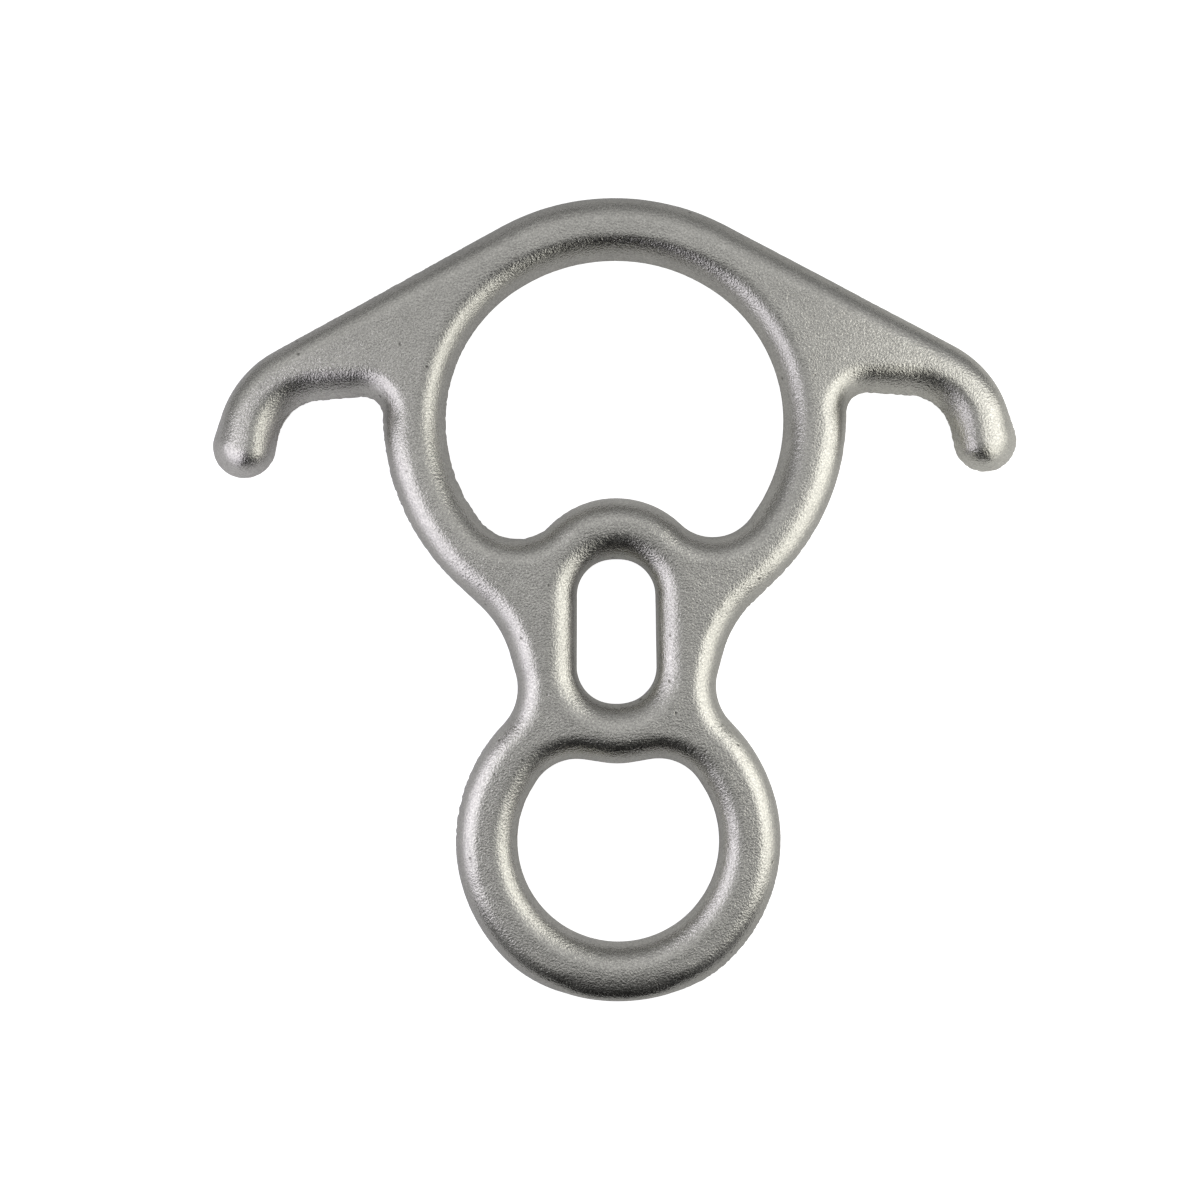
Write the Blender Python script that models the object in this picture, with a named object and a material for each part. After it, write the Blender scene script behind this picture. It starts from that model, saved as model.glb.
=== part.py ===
"""Rescue figure eight descender: one closed-die stainless steel forging with two ears, lying flat.

Metres, +Z up. The origin is on the surface that it lies on, under the middle of its bounding box.
+Y runs from the small eye to the large eye and its ears, and +X to the right. The forging is the
same left and right of the YZ plane, and the same above and below its parting line.
"""

import collections
import math

import bmesh
import bpy

MM = 0.001
OBJECT_NAME = "rescue_figure_eight_descender"

# Section through the forging, in millimetres.
THICKNESS = 13.0
EDGE_RADIUS = 5.8
EDGE_SEGMENTS = 5

# Outlines, in millimetres. Each is the right half of a closed path, as arcs with straight tangents
# between them, from the symmetry line at +Y down to the symmetry line at -Y.
Arc = collections.namedtuple("Arc", "x y radius turn")
LEFT = 1
RIGHT = -1

OUTSIDE = (
    Arc(0.0, 36.6, 53.4, RIGHT),  # crown over the large eye
    Arc(64.45, 34.3, 24.85, RIGHT),  # shoulder of the ear
    Arc(82.9, 34.95, 7.15, RIGHT),  # tip of the hook
    Arc(65.5, 35.2, 9.8, LEFT),  # inside of the hook
    Arc(56.4, 41.35, 4.35, LEFT),  # corner under the ear
    Arc(0.0, 41.65, 52.05, RIGHT),  # side of the large ring
    Arc(46.45, -18.15, 23.3, LEFT),  # upper part of the neck
    Arc(33.8, -19.6, 11.5, LEFT),  # lower part of the neck
    Arc(-0.8, -54.0, 37.25, RIGHT),  # side of the small ring
    Arc(4.55, -59.5, 29.6, RIGHT),  # lower corner of the small ring
    Arc(0.0, -48.45, 41.5, RIGHT),  # foot of the small ring
)
LARGE_EYE = (
    Arc(0.0, 36.1, 39.65, RIGHT),  # top, a little flatter than the sides
    Arc(2.6, 39.85, 35.1, RIGHT),  # side
    Arc(21.9, 24.15, 10.3, RIGHT),  # pocket beside the bridge
    Arc(0.0, 1.85, 20.95, LEFT),  # bridge that bulges up over the slot
)
SLOT = (
    Arc(0.0, -2.0, 10.95, RIGHT),  # top
    Arc(0.7, 0.9, 8.0, RIGHT),  # upper corner
    Arc(0.6, -15.0, 8.25, RIGHT),  # lower corner
    Arc(0.0, -12.0, 11.3, RIGHT),  # bottom
)
SMALL_EYE = (
    Arc(0.0, -16.65, 20.15, LEFT),  # bridge that bulges down under the slot
    Arc(9.2, -46.35, 10.65, RIGHT),  # upper corner
    Arc(0.0, -54.0, 22.5, RIGHT),  # bow that the karabiner sits in
)

# How finely the arcs are drawn, with lengths in millimetres.
DEGREES_PER_SIDE = 7.5
SHORTEST_SIDE = 0.5
WELD_DISTANCE = 0.01

STEEL_COLOUR = (0.56, 0.56, 0.54, 1.0)
STEEL_ROUGHNESS = 0.38


def clear_scene():
    for old in list(bpy.data.objects):
        bpy.data.objects.remove(old)


def heading_between(first, second):
    """Direction of the straight run that leaves one arc and meets the next, as an angle."""
    dx = second.x - first.x
    dy = second.y - first.y
    offset = second.turn * second.radius - first.turn * first.radius
    return math.atan2(dy, dx) - math.asin(offset / math.hypot(dx, dy))


def arc_points(arc, heading_in, heading_out):
    """Points along one arc, from the heading it is entered with to the heading it is left with."""
    sweep = (heading_out - heading_in) * arc.turn % math.tau
    sides = max(1, math.ceil(math.degrees(sweep) / DEGREES_PER_SIDE))
    for step in range(sides + 1):
        heading = heading_in + arc.turn * sweep * step / sides
        yield (
            arc.x + arc.turn * arc.radius * math.sin(heading),
            arc.y - arc.turn * arc.radius * math.cos(heading),
        )


def closed_outline(arcs):
    """The whole outline: the right half, and its mirror image back up the left side."""
    headings = [0.0]
    headings += [heading_between(a, b) for a, b in zip(arcs, arcs[1:])]
    headings.append(math.pi)
    right = []
    for arc, heading_in, heading_out in zip(arcs, headings, headings[1:]):
        for point in arc_points(arc, heading_in, heading_out):
            if not right or math.dist(right[-1], point) > SHORTEST_SIDE:
                right.append(point)
    left = [(-x, y) for x, y in reversed(right[1:-1])]
    return right + left


def outline_curve(outlines):
    """A filled flat curve with rounded edges, as thick as the forging and centred on its parting line."""
    curve = bpy.data.curves.new("forging_outline", "CURVE")
    curve.dimensions = "2D"
    curve.fill_mode = "BOTH"
    curve.extrude = (THICKNESS / 2 - EDGE_RADIUS) * MM
    curve.bevel_depth = EDGE_RADIUS * MM
    curve.bevel_resolution = EDGE_SEGMENTS - 1
    curve.offset = -EDGE_RADIUS * MM
    for outline in outlines:
        spline = curve.splines.new("POLY")
        spline.points.add(len(outline) - 1)
        for point, (x, y) in zip(spline.points, outline):
            point.co = (x * MM, y * MM, 0.0, 1.0)
        spline.use_cyclic_u = True
    return curve


def closed_mesh(curve):
    """The curve as one closed mesh, with its caps welded to its rounded edges."""
    source = bpy.data.objects.new("forging_outline", curve)
    bpy.context.scene.collection.objects.link(source)
    graph = bpy.context.evaluated_depsgraph_get()
    mesh = bpy.data.meshes.new_from_object(source.evaluated_get(graph))
    bpy.data.objects.remove(source)
    shape = bmesh.new()
    shape.from_mesh(mesh)
    bmesh.ops.remove_doubles(shape, verts=shape.verts, dist=WELD_DISTANCE * MM)
    bmesh.ops.recalc_face_normals(shape, faces=shape.faces)
    shape.to_mesh(mesh)
    shape.free()
    return mesh


def steel():
    material = bpy.data.materials.new("tumbled_stainless_steel")
    material.use_nodes = True
    surface = material.node_tree.nodes["Principled BSDF"]
    surface.inputs["Base Color"].default_value = STEEL_COLOUR
    surface.inputs["Metallic"].default_value = 1.0
    surface.inputs["Roughness"].default_value = STEEL_ROUGHNESS
    return material


def forged_body():
    outlines = [closed_outline(arcs) for arcs in (OUTSIDE, LARGE_EYE, SLOT, SMALL_EYE)]
    mesh = closed_mesh(outline_curve(outlines))
    mesh.materials.clear()
    mesh.materials.append(steel())
    mesh.shade_smooth()
    body = bpy.data.objects.new("forged_body", mesh)
    body.location.z = THICKNESS / 2 * MM
    return body


def main():
    clear_scene()
    collection = bpy.data.collections.new(OBJECT_NAME)
    bpy.context.scene.collection.children.link(collection)
    collection.objects.link(forged_body())


main()
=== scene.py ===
"""Looks of a rescue figure eight descender: one stainless steel forging, blasted to a fine satin grain.

It lies flat on a pale floor and is seen from straight above. Lengths are in millimetres until MM
turns them into metres. +Y runs from the small eye to the large eye and its ears.
"""

import collections
import math

import bpy
import numpy as np
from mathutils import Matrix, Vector, geometry, noise

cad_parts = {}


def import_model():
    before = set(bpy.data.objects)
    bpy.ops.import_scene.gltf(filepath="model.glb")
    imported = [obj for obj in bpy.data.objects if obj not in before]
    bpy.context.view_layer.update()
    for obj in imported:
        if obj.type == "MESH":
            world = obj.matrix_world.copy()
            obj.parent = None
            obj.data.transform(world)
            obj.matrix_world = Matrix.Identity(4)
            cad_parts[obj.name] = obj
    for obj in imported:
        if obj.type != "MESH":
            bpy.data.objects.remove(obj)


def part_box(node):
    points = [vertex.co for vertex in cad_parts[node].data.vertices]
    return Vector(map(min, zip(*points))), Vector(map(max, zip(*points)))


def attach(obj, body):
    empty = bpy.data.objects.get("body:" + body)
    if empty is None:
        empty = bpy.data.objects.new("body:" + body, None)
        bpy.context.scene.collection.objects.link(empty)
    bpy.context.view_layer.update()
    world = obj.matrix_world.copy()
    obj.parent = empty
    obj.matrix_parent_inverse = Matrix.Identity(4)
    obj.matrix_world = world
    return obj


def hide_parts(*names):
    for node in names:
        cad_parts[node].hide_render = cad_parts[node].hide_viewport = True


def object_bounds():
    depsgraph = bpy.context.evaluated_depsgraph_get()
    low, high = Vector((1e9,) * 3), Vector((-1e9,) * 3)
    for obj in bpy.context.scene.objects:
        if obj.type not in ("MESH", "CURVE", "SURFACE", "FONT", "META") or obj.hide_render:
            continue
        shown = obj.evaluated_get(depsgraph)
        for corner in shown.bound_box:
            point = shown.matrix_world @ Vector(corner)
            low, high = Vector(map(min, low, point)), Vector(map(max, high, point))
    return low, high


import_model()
cad_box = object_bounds()

MM = 0.001
NODE = "forged_body"

# Outlines: arcs with straight tangents between them, as the right half of each closed path, from
# the symmetry line at +Y down to the symmetry line at -Y. Each arc also has its section. Its edge is
# how far the rounding reaches in to the flat of the web. Its wall is how the rounding curves: 1 is a
# quarter of an ellipse and less is fuller than that, 2 is about a parabola, and 3 is a straight
# drafted wall that turns over near the top.
Arc = collections.namedtuple("Arc", "x y radius turn edge wall")
LEFT = 1
RIGHT = -1
QUARTER_ELLIPSE = 1.0
PARABOLA = 2.0

OUTSIDE = (
    Arc(0.0, 36.6, 53.4, RIGHT, 6.0, 1.1),  # crown over the large eye
    Arc(64.45, 34.3, 24.85, RIGHT, 5.1, 0.85),  # shoulder of the ear
    Arc(82.9, 34.95, 7.15, RIGHT, 6.4, 1.7),  # tip of the hook
    Arc(65.5, 35.2, 9.8, LEFT, 6.9, 2.5),  # inside of the hook
    Arc(56.4, 41.35, 4.35, LEFT, 6.6, 2.3),  # corner under the ear
    Arc(0.0, 41.65, 52.05, RIGHT, 6.0, 1.05),  # side of the large ring
    Arc(46.45, -18.15, 23.3, LEFT, 6.2, 1.3),  # upper part of the neck
    Arc(33.8, -19.6, 11.5, LEFT, 5.8, 1.1),  # lower part of the neck
    Arc(-0.8, -54.0, 37.25, RIGHT, 5.3, 1.0),  # side of the small ring
    Arc(4.55, -59.5, 29.6, RIGHT, 5.0, 1.1),  # lower corner of the small ring
    Arc(0.0, -48.45, 41.5, RIGHT, 6.6, 0.5),  # foot of the small ring
)
LARGE_EYE = (
    Arc(0.0, 36.1, 39.65, RIGHT, 5.8, 2.3),  # top, a little flatter than the sides
    Arc(2.6, 39.85, 35.1, RIGHT, 6.7, 1.75),  # side
    Arc(21.9, 24.15, 10.3, RIGHT, 5.9, 1.3),  # pocket beside the bridge
    Arc(0.0, 1.85, 20.95, LEFT, 5.7, 1.3),  # bridge that bulges up over the slot
)
SLOT = (
    Arc(0.0, -2.0, 10.95, RIGHT, 7.4, 2.0),  # top
    Arc(0.7, 0.9, 8.0, RIGHT, 6.7, 1.25),  # upper corner
    Arc(0.6, -15.0, 8.25, RIGHT, 6.8, 1.1),  # lower corner
    Arc(0.0, -12.0, 11.3, RIGHT, 6.0, 0.95),  # bottom
)
SMALL_EYE = (
    Arc(0.0, -16.65, 20.15, LEFT, 6.2, 1.5),  # bridge that bulges down under the slot
    Arc(9.2, -46.35, 10.65, RIGHT, 6.1, 1.55),  # upper corner
    Arc(0.0, -54.0, 22.5, RIGHT, 6.0, 1.3),  # bow that the karabiner sits in
)

# Closed loops: the side of the path that the metal is on, and the share of the flash left by trimming.
Loop = collections.namedtuple("Loop", "arcs metal_side flash")
LOOPS = (
    Loop(OUTSIDE, RIGHT, 1.0),
    Loop(LARGE_EYE, LEFT, 1.0),
    Loop(SLOT, LEFT, 0.1),
    Loop(SMALL_EYE, LEFT, 0.4),
)

# Sections. Those of neighbouring arcs run into each other over the blend length. A wall of 2 turns on
# to the flat tighter than a parabola by the first share, and a drafted wall is straight over the
# second share of its reach.
BLEND_LENGTH = 4.0
SHARPER_TOP = 0.12
DRAFT_END = 0.5

# Land: the upright band at the parting line. Its rows are shares of the height to either side.
LAND = 0.7
LAND_ROWS = (0.66, 0.33, 0.0, -0.33, -0.66)

# Flash: the trimmed line that stands out where the two dies met. Noise of about -1 to 1 bites into it
# where it is over its start. A second, slower noise makes the bites deep along some stretches and
# faint along others.
FLASH_HEIGHT = 0.22
FLASH_SPREAD = 0.8 * LAND
BITE_DEPTH = 0.45
BITE_LENGTH = 0.85
BITE_START = -0.15
STRETCH_LENGTH = 40.0
STRETCH_LAYER = 296.0
STRETCH_MIDDLE = 0.15
STRETCH_SWING = 2.4
STRETCH_LEAST = 0.1

# Unevenness of the surface, always inwards from the ideal shape.
WAVE_DEPTH = 0.09
WAVE_LENGTH = 16.0
DENT_DEPTH = 0.03
DENT_LENGTH = 3.2

# Mesh. The last two are settings for the triangles of the web: the one that keeps only those inside
# its rims, and how near counts as touching.
SPACING = 0.5
SHORTEST_SIDE = 0.15
EDGE_ROWS = 18
WEB_PITCH = 0.75
WEB_CLEARANCE = 0.6 * WEB_PITCH
KEEP_INSIDE = 1
TOUCHING = 1e-6


def heading_between(first, second):
    """Direction of the straight run that leaves one arc and meets the next, as an angle."""
    dx = second.x - first.x
    dy = second.y - first.y
    offset = second.turn * second.radius - first.turn * first.radius
    return math.atan2(dy, dx) - math.asin(offset / math.hypot(dx, dy))


def straight_run(first, last):
    """Rows between the end of one arc and the start of the next, with neither of those two.

    They all take the next arc's heading, since the two may be whole turns apart.
    """
    steps = math.ceil(math.dist(first[:2], last[:2]) / SPACING)
    for part in np.linspace(0.0, 1.0, steps + 1)[1:-1]:
        row = first + (last - first) * part
        row[2] = last[2]
        yield row


def half_path(arcs):
    """Closely spaced rows of x, y, heading, edge and wall along the right half of an outline."""
    headings = [0.0]
    headings += [heading_between(a, b) for a, b in zip(arcs, arcs[1:])]
    headings.append(math.pi)
    path = []
    for arc, heading_in, heading_out in zip(arcs, headings, headings[1:]):
        sweep = (heading_out - heading_in) * arc.turn % math.tau
        steps = max(1, math.ceil(sweep * arc.radius / SPACING))
        turns = np.linspace(0.0, arc.turn * sweep, steps + 1) + heading_in
        xs = arc.x + arc.turn * arc.radius * np.sin(turns)
        ys = arc.y - arc.turn * arc.radius * np.cos(turns)
        section = np.full((steps + 1, 2), (arc.edge, arc.wall))
        rows = np.column_stack((xs, ys, turns, section))
        if path:
            path += list(straight_run(path[-1], rows[0]))
        for row in rows:
            if not path or math.dist(path[-1][:2], row[:2]) > SHORTEST_SIDE:
                path.append(row)
    return np.array(path)


def blended(points, values):
    """Values along a closed path, each made the average of those around it."""
    before = np.roll(points, 1, axis=0)
    lengths = np.hypot(*(points - before).T)
    along = np.cumsum(lengths)
    gaps = np.abs(along[:, None] - along[None, :])
    gaps = np.minimum(gaps, along[-1] - gaps)
    weights = np.exp(-((gaps / BLEND_LENGTH) ** 2)) * lengths
    return weights @ values / weights.sum(axis=1)[:, None]


def outline(arcs, metal_side):
    """Points round a closed outline, the unit vectors that point into the metal, and the sections."""
    path = half_path(arcs)
    points = path[:, :2]
    inward = metal_side * np.column_stack((-np.sin(path[:, 2]), np.cos(path[:, 2])))
    mirror = np.array((-1.0, 1.0))
    points = np.vstack((points, points[-2:0:-1] * mirror))
    inward = np.vstack((inward, inward[-2:0:-1] * mirror))
    section = np.vstack((path[:, 3:], path[-2:0:-1, 3:]))
    return points, inward, blended(points, section)


def drafted_wall(part):
    """Height over the land of a straight sloping wall that turns over to the flat, both 0 to 1."""
    slope = 1 / (DRAFT_END + (1 - DRAFT_END) / 2)
    bend = np.maximum(part - DRAFT_END, 0.0)
    return slope * (part - bend**2 / (2 * (1 - DRAFT_END)))


def edge_profile(edge, wall, rise):
    """(inset, height) from the flat of the web down to the parting line and on to the underside.

    The edge, the wall and so each inset and height have one value for every point of the outline.
    """
    curved = np.minimum(wall, PARABOLA)
    drafted = np.maximum(wall - PARABOLA, 0.0)
    turn_over = 1.0 - SHARPER_TOP * (curved - QUARTER_ELLIPSE)
    upper = []
    for angle in np.linspace(math.pi / 2, 0.0, EDGE_ROWS + 1):
        part = 1 - abs(math.cos(angle)) ** turn_over
        height = math.sin(angle) ** curved * (1 - drafted) + drafted_wall(part) * drafted
        upper.append((edge * part, LAND + rise * height))
    land = [(np.zeros_like(edge), np.full_like(edge, LAND * part)) for part in LAND_ROWS]
    lower = [(inset, -height) for inset, height in reversed(upper)]
    return upper + land + lower


def flash_line(points, share):
    """How far the trimmed flash stands out of the parting line, uneven along it."""
    reach = []
    for x, y in points:
        stretch = noise.noise(Vector((x, y, STRETCH_LAYER)) / STRETCH_LENGTH)
        stretch = STRETCH_MIDDLE + STRETCH_SWING * stretch
        depth = BITE_DEPTH * min(1.0, max(STRETCH_LEAST, stretch))
        bite = noise.noise(Vector((x, y, 0.0)) / BITE_LENGTH) - BITE_START
        reach.append(FLASH_HEIGHT - depth * max(0.0, bite))
    return np.array(reach) * share


def edge_rows(points, inward, section, share, rise):
    """Rows of vertices round one outline, from its upper flat to its lower flat.

    The flash reaches out to the outline, and the walls stand back from it by the height of the flash.
    """
    rows = []
    flash = flash_line(points, share)
    for inset, height in edge_profile(section[:, 0], section[:, 1], rise):
        across = np.exp(-((height / FLASH_SPREAD) ** 2))
        depth = FLASH_HEIGHT * share + inset - flash * across
        rows.append(np.column_stack((points + inward * depth[:, None], height)))
    return rows


def band_faces(first, size, bands, metal_side):
    """Quads between the rows of vertices round one loop. The first of these vertices has that index."""
    around = np.arange(size)
    following = (around + 1) % size
    order = 1 if metal_side == RIGHT else -1
    faces = []
    for band in range(bands):
        here = first + band * size
        below = here + size
        quads = np.column_stack((here + around, here + following, below + following, below + around))
        faces += quads[:, ::order].tolist()
    return faces


def grid_points(rims, inwards):
    """A triangular grid of points in the web, clear of its rims."""
    rim = np.vstack(rims)
    inward = np.vstack(inwards)
    low = rim.min(axis=0)
    high = rim.max(axis=0)
    found = []
    for row, y in enumerate(np.arange(low[1], high[1], WEB_PITCH * math.sqrt(3) / 2)):
        shift = WEB_PITCH / 2 * (row % 2)
        xs = np.arange(low[0] + shift, high[0], WEB_PITCH)
        line = np.column_stack((xs, np.full(len(xs), y)))
        gaps = line[:, None, :] - rim[None, :, :]
        nearest = (gaps**2).sum(axis=2).argmin(axis=1)
        depth = (gaps[np.arange(len(xs)), nearest] * inward[nearest]).sum(axis=1)
        found.append(line[depth > WEB_CLEARANCE])
    return np.vstack(found)


def web_faces(rims, inner):
    """Triangles that fill the web between its rims and use the loose points inside it."""
    coords = [Vector(point) for point in np.vstack((*rims, inner))]
    loops = []
    start = 0
    for rim in rims:
        loops.append(list(range(start + len(rim) - 1, start - 1, -1)))
        start += len(rim)
    made = geometry.delaunay_2d_cdt(coords, [], loops, KEEP_INSIDE, TOUCHING, True)
    _, _, faces, sources, _, owners = made
    index = [source[0] for source in sources]
    return [[index[v] for v in face] for face, owner in zip(faces, owners) if owner == [0]]


def forging_mesh(rise):
    """The whole forging as one closed mesh, centred on its parting line."""
    verts = []
    faces = []
    rims = []
    inwards = []
    top_rings = []
    low_rings = []
    count = 0
    for loop in LOOPS:
        points, inward, section = outline(loop.arcs, loop.metal_side)
        rows = edge_rows(points, inward, section, loop.flash, rise)
        size = len(points)
        bands = len(rows) - 1
        faces += band_faces(count, size, bands, loop.metal_side)
        rims.append(rows[0][:, :2])
        inwards.append(inward)
        top_rings.append(count + np.arange(size))
        low_rings.append(count + bands * size + np.arange(size))
        verts += rows
        count += size * len(rows)
    inner = grid_points(rims, inwards)
    web = web_faces(rims, inner)
    height = rise + LAND
    for rings, z, order in ((top_rings, height, 1), (low_rings, -height, -1)):
        lookup = np.concatenate(rings + [count + np.arange(len(inner))])
        verts.append(np.column_stack((inner, np.full(len(inner), z))))
        count += len(inner)
        faces += [[int(lookup[v]) for v in face[::order]] for face in web]
    return np.vstack(verts), faces


def uneven(places, normals):
    """The surface as worn dies and blasting leave it, a little inside its ideal shape."""
    depth = np.empty(len(places))
    for i, place in enumerate(places):
        at = Vector(place)
        depth[i] = WAVE_DEPTH * (1 + noise.noise(at / WAVE_LENGTH)) / 2
        depth[i] += DENT_DEPTH * (1 + noise.noise(at / DENT_LENGTH)) / 2
    return places - normals * depth[:, None]


def forging():
    """The piece that stands for the plain solid."""
    low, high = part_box(NODE)
    middle = (low.z + high.z) / 2
    rise = (high.z - low.z) / 2 / MM - LAND
    places, faces = forging_mesh(rise)
    mesh = bpy.data.meshes.new("forging")
    mesh.from_pydata(places.tolist(), [], faces)
    normals = np.empty(len(places) * 3)
    mesh.vertex_normals.foreach_get("vector", normals)
    places = uneven(places, normals.reshape(-1, 3)) * MM
    places[:, 2] += middle
    mesh.vertices.foreach_set("co", places.ravel())
    mesh.update()
    mesh.shade_smooth()
    piece = bpy.data.objects.new("forging", mesh)
    bpy.context.scene.collection.objects.link(piece)
    return piece


def node(tree, kind, links=None, **values):
    """A shader node with its settings filled in and its sockets set or linked."""
    made = tree.nodes.new(kind)
    for name, value in values.items():
        if name in made.inputs:
            made.inputs[name].default_value = value
        else:
            setattr(made, name, value)
    for socket, source in (links or {}).items():
        tree.links.new(source, made.inputs[socket])
    return made


def maths(tree, operation, *values):
    """A value worked out from others, each of them a socket or a number."""
    made = node(tree, "ShaderNodeMath", operation=operation)
    for socket, value in zip(made.inputs, values):
        if isinstance(value, bpy.types.NodeSocket):
            tree.links.new(value, socket)
        else:
            socket.default_value = value
    return made.outputs[0]


def mapped(tree, source, limits, levels, interpolation="LINEAR"):
    """A value spread from one pair of limits to another, and held at the ends."""
    made = node(tree, "ShaderNodeMapRange", {"Value": source}, interpolation_type=interpolation)
    for name, value in zip(("From Min", "From Max", "To Min", "To Max"), limits + levels):
        made.inputs[name].default_value = value
    return made.outputs["Result"]


# Steel: its lightest and darkest colour, its roughness, and its noises, each with the size of a
# grain, the finer octaves and their strength. The limits are the noise at the ends of each range.
Grains = collections.namedtuple("Grains", "size detail roughness")
STEEL_LIGHT = (0.681, 0.671, 0.63, 1.0)
STEEL_DARK = (0.428, 0.422, 0.397, 1.0)
SPECKLE = Grains(0.42, 1.0, 0.5)
SPECKLE_SHARE = 0.75
MOTTLE = Grains(5.0, 3.0, 0.6)
MOTTLE_SHARE = 0.25
SHEEN = Grains(1.3, 2.0, 0.6)
ROUGHNESS = (0.18, 0.26)
NOISE_LIMITS = (0.3, 0.7)

# Relief of the steel. The blasting is fainter on the walls: it has its share there up to one distance
# from the parting line, and its full height from the other on.
ORANGE_PEEL = Grains(2.4, 1.0, 0.5)
ORANGE_PEEL_HEIGHT = 0.05
BLASTING = Grains(0.46, 2.0, 0.6)
BLASTING_HEIGHT = 0.145
FAINT_BELOW = 1.0
FULL_ABOVE = 5.0
SHARE_ON_WALLS = 0.35

# Pits of the steel
PIT_SPACING = 5.5
PIT_RADIUS = 0.5
PIT_DEPTH = 0.12
PIT_COLOUR = (0.16, 0.155, 0.14, 1.0)


def steel(middle):
    """Blasted stainless steel: a fine sparkling grain and a few pits over a faint orange peel."""
    material = bpy.data.materials.new("blasted_steel")
    material.use_nodes = True
    tree = material.node_tree
    surface = tree.nodes["Principled BSDF"]
    surface.inputs["Metallic"].default_value = 1.0
    place = node(tree, "ShaderNodeTexCoord").outputs["Object"]
    upwards = node(tree, "ShaderNodeSeparateXYZ", {0: place}).outputs["Z"]
    height = maths(tree, "ABSOLUTE", maths(tree, "SUBTRACT", upwards, middle))

    def noise_of(grains):
        look = {"Scale": 1 / (grains.size * MM), "Detail": grains.detail, "Roughness": grains.roughness}
        return node(tree, "ShaderNodeTexNoise", {"Vector": place}, **look).outputs["Fac"]

    def varied(grains, levels):
        return mapped(tree, noise_of(grains), NOISE_LIMITS, levels)

    def relief(sources, depth, **values):
        return node(tree, "ShaderNodeBump", sources, Distance=depth * MM, **values).outputs["Normal"]

    cells = node(tree, "ShaderNodeTexVoronoi", {"Vector": place}, Scale=1 / (PIT_SPACING * MM))
    pits = mapped(tree, cells.outputs["Distance"], (0.0, PIT_RADIUS / PIT_SPACING), (1.0, 0.0))

    speckle = varied(SPECKLE, (0.0, SPECKLE_SHARE))
    mottle = varied(MOTTLE, (0.0, MOTTLE_SHARE))
    shade = maths(tree, "ADD", speckle, mottle)
    tint = node(tree, "ShaderNodeMix", {"Factor": shade}, data_type="RGBA", A=STEEL_DARK, B=STEEL_LIGHT)
    stain = {"Factor": pits, "A": tint.outputs["Result"]}
    stained = node(tree, "ShaderNodeMix", stain, data_type="RGBA", B=PIT_COLOUR)
    tree.links.new(stained.outputs["Result"], surface.inputs["Base Color"])
    tree.links.new(varied(SHEEN, ROUGHNESS), surface.inputs["Roughness"])

    share = mapped(tree, height, (FAINT_BELOW * MM, FULL_ABOVE * MM), (SHARE_ON_WALLS, 1.0))
    peel = relief({"Height": noise_of(ORANGE_PEEL)}, ORANGE_PEEL_HEIGHT)
    pitted = relief({"Height": pits, "Normal": peel}, PIT_DEPTH, invert=True)
    blasted = {"Height": noise_of(BLASTING), "Normal": pitted, "Strength": share}
    tree.links.new(relief(blasted, BLASTING_HEIGHT), surface.inputs["Normal"])
    return material


# Floor. The paper reflects the studio, and a white is added to it for the camera and, faintly, the steel.
FLOOR_SIZE = 6000.0
FLOOR_COLOUR = (0.69, 0.69, 0.69, 1.0)
WHITE_FOR_CAMERA = 0.9
WHITE_FOR_STEEL = 0.02


def white_floor():
    """A pale floor that the camera sees as white, with the shadow still faintly on it."""
    material = bpy.data.materials.new("pale_floor")
    material.use_nodes = True
    tree = material.node_tree
    tree.nodes.clear()
    rays = node(tree, "ShaderNodeLightPath").outputs
    mirrored = maths(tree, "MAXIMUM", rays["Is Glossy Ray"], rays["Is Transmission Ray"])
    dim = maths(tree, "MULTIPLY", mirrored, WHITE_FOR_STEEL)
    level = maths(tree, "MULTIPLY_ADD", rays["Is Camera Ray"], WHITE_FOR_CAMERA, dim)
    paper = node(tree, "ShaderNodeBsdfDiffuse", Color=FLOOR_COLOUR)
    white = node(tree, "ShaderNodeEmission", {"Strength": level})
    seen = node(tree, "ShaderNodeAddShader", {0: paper.outputs[0], 1: white.outputs[0]})
    node(tree, "ShaderNodeOutputMaterial", {"Surface": seen.outputs[0]})
    return material


def floor():
    """The flat that the part lies on, far wider than the view."""
    bpy.ops.mesh.primitive_plane_add(size=FLOOR_SIZE * MM)
    plane = bpy.context.object
    plane.name = "floor"
    plane.data.materials.append(white_floor())


# World. The ceiling, the horizon and each level are brightnesses, which multiply each other. The
# others are places on the unit vector that points into the room: front and behind are along its Y,
# and the wedge is along its Y plus the spread times its distance to either side. The wedge is a dark
# part of the room that opens from overhead towards -Y, where the photographer stands.
CEILING = 0.7
HORIZON = 0.2
FRONT = -0.35
FRONT_LEVEL = 0.58
BEHIND = 0.3
BEHIND_LEVEL = 1.0
WEDGE_SPREAD = 1.3
WEDGE_DARK = -0.27
WEDGE_GONE = 0.08
WEDGE_LEVEL = 0.075
WHITE = (1.0, 1.0, 1.0, 1.0)


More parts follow.
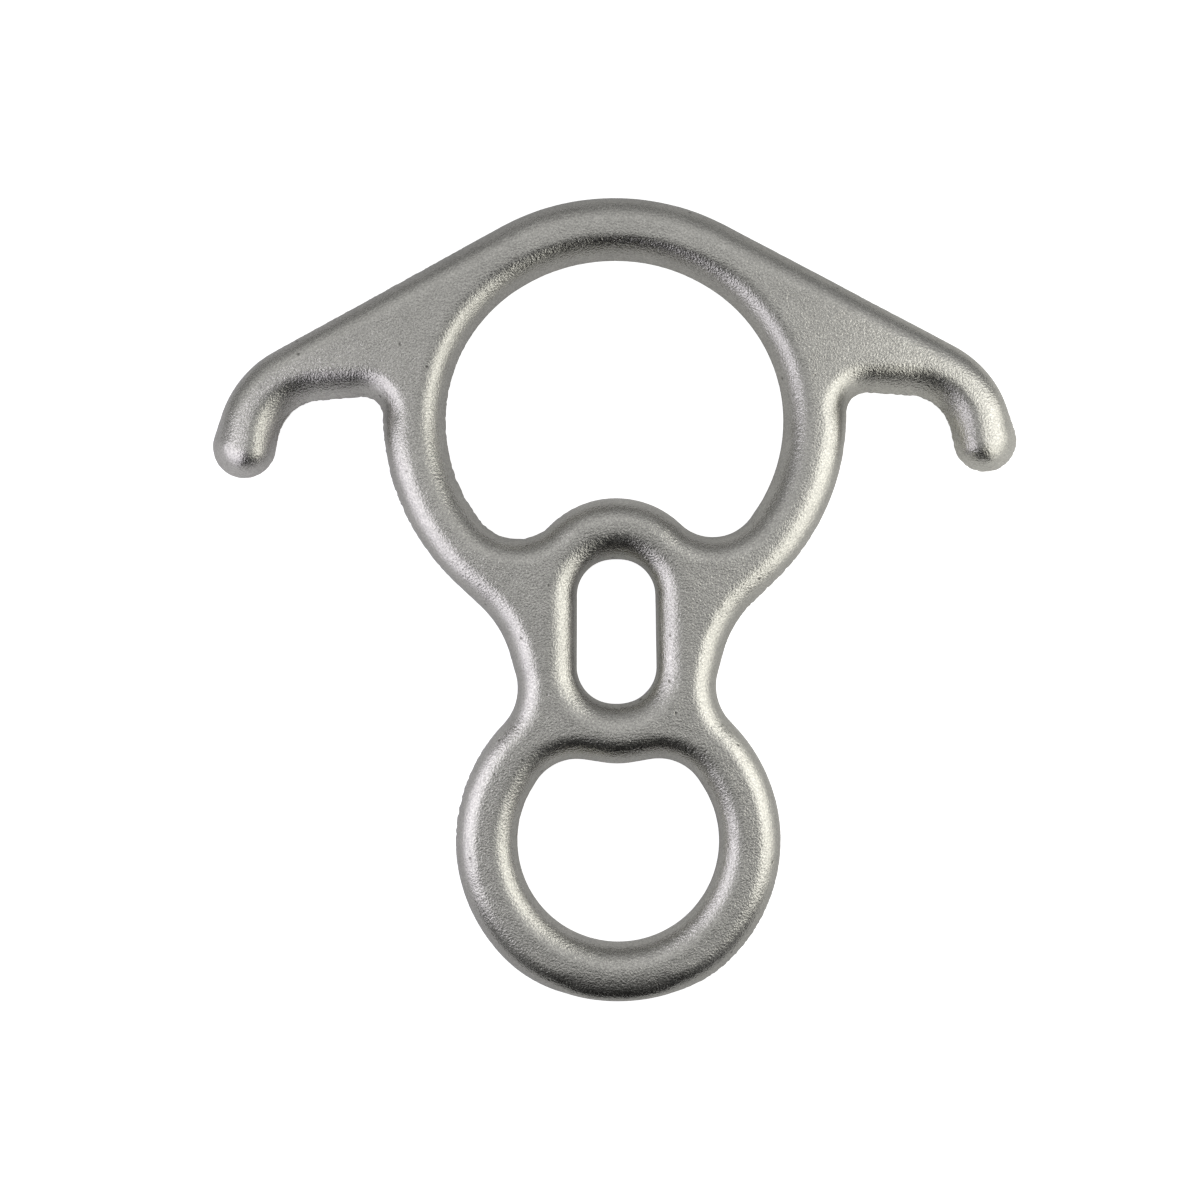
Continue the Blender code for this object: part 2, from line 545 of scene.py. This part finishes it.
def world():
    """A studio with a pale ceiling, dimmer towards its walls and dark where the photographer stands."""
    sky = bpy.data.worlds.new("studio")
    bpy.context.scene.world = sky
    sky.use_nodes = True
    tree = sky.node_tree
    tree.nodes.clear()
    camera_ray = node(tree, "ShaderNodeLightPath").outputs["Is Camera Ray"]
    place = node(tree, "ShaderNodeTexCoord").outputs["Generated"]
    towards = node(tree, "ShaderNodeSeparateXYZ", {0: place}).outputs

    def softly(source, limits, levels):
        return mapped(tree, source, limits, levels, "SMOOTHSTEP")

    height = softly(towards["Z"], (0.0, 1.0), (HORIZON, CEILING))
    behind = softly(towards["Y"], (FRONT, BEHIND), (FRONT_LEVEL, BEHIND_LEVEL))
    aside = maths(tree, "ABSOLUTE", towards["X"])
    across = maths(tree, "MULTIPLY_ADD", aside, WEDGE_SPREAD, towards["Y"])
    wedge = softly(across, (WEDGE_DARK, WEDGE_GONE), (WEDGE_LEVEL, 1.0))
    level = maths(tree, "MULTIPLY", maths(tree, "MULTIPLY", height, behind), wedge)

    room = node(tree, "ShaderNodeBackground", {"Color": level}).outputs[0]
    white = node(tree, "ShaderNodeBackground", Color=WHITE).outputs[0]
    seen = node(tree, "ShaderNodeMixShader", {0: camera_ray, 1: room, 2: white})
    node(tree, "ShaderNodeOutputWorld", {"Surface": seen.outputs[0]})


# Lamps: the place of the middle, half the width and height, radiance and colour. They face a place
# on the floor that is a little nearer to the small eye than the middle of the part.
Softbox = collections.namedtuple("Softbox", "x y z half_width half_height radiance colour")
SOFTBOXES = {
    "softbox_right": Softbox(120.0, -16.0, 73.0, 90.0, 71.0, 1.32, (1.0, 0.99, 0.925)),
    "softbox_left": Softbox(-118.0, -29.0, 70.0, 74.0, 65.0, 1.26, (0.935, 0.905, 1.0)),
}
AIM = Vector((0.0, -12.0, 0.0))


def softboxes():
    """Soft lamps, close by and low at either side, that the camera doesn't see."""
    for name, box in SOFTBOXES.items():
        lamp = bpy.data.lights.new(name, "AREA")
        lamp.shape = "RECTANGLE"
        lamp.size = 2 * box.half_width * MM
        lamp.size_y = 2 * box.half_height * MM
        lamp.energy = box.radiance * math.pi * lamp.size * lamp.size_y
        lamp.color = box.colour
        holder = bpy.data.objects.new(name, lamp)
        holder.location = Vector((box.x, box.y, box.z)) * MM
        holder.rotation_euler = (holder.location - AIM * MM).to_track_quat("Z", "Y").to_euler()
        holder.visible_camera = False
        bpy.context.scene.collection.objects.link(holder)


# Camera: its height over the parting line, its turn in degrees, and the width of the view at that line.
CAMERA_HEIGHT = 650.0
CAMERA_OFFSET = (-3.6, -0.08)
CAMERA_TURN = -0.5
VIEW_WIDTH = 268.75
SENSOR_WIDTH = 36.0


def camera(middle):
    """Straight above, with the photograph's small turn and offset."""
    lens = bpy.data.cameras.new("camera")
    holder = bpy.data.objects.new("camera", lens)
    bpy.context.scene.collection.objects.link(holder)
    bpy.context.scene.camera = holder
    lens.sensor_width = SENSOR_WIDTH
    lens.lens = SENSOR_WIDTH * CAMERA_HEIGHT / VIEW_WIDTH
    holder.location = (CAMERA_OFFSET[0] * MM, CAMERA_OFFSET[1] * MM, CAMERA_HEIGHT * MM + middle)
    holder.rotation_euler = (0.0, 0.0, math.radians(CAMERA_TURN))


bpy.context.scene.view_settings.view_transform = "Standard"
parting_line = (cad_box[0][2] + cad_box[1][2]) / 2
camera(parting_line)
floor()
world()
softboxes()

body = forging()
body.data.materials.append(steel(parting_line))
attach(body, "root")
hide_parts(NODE)
